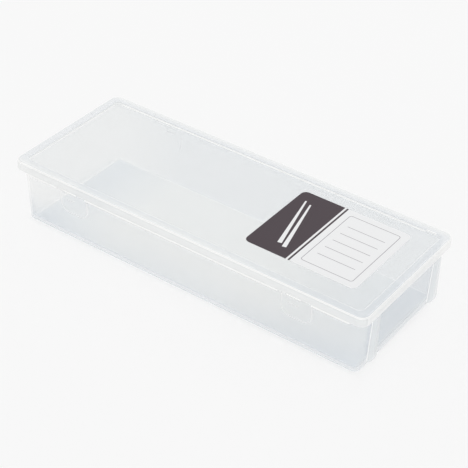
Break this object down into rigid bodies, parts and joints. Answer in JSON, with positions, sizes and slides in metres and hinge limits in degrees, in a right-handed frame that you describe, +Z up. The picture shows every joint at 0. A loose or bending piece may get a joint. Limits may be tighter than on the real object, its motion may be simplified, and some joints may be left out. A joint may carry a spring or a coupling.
{
  "type": "chopstick box",
  "caption": "Long translucent plastic chopstick box: a drafted tray with two fins on one end and thumb pads under a lift-off lid with a sunk panel, pull tabs and a blank label.",
  "frame": {"origin": "middle of the tray's underside, on the surface it stands on", "axes": "+X along the length towards the end that carries the label, -Y the front long side, +Z up"},
  "size_m": [0.27, 0.1062, 0.047],
  "materials": {
    "tray_plastic": "frosted translucent polypropylene",
    "lid_plastic": "frosted translucent polypropylene, glossier on its edges",
    "label_film": "matt printed adhesive film"
  },
  "bodies": {
    "tray": {"box_body": "tray_plastic"},
    "lid": {"lid": "lid_plastic", "label": "label_film"}
  },
  "joints": [
    {"name": "lid_lift", "type": "slide", "parent": "tray", "child": "lid", "axis": [0, 0, 1], "range_m": [0, 0.12]}
  ]
}
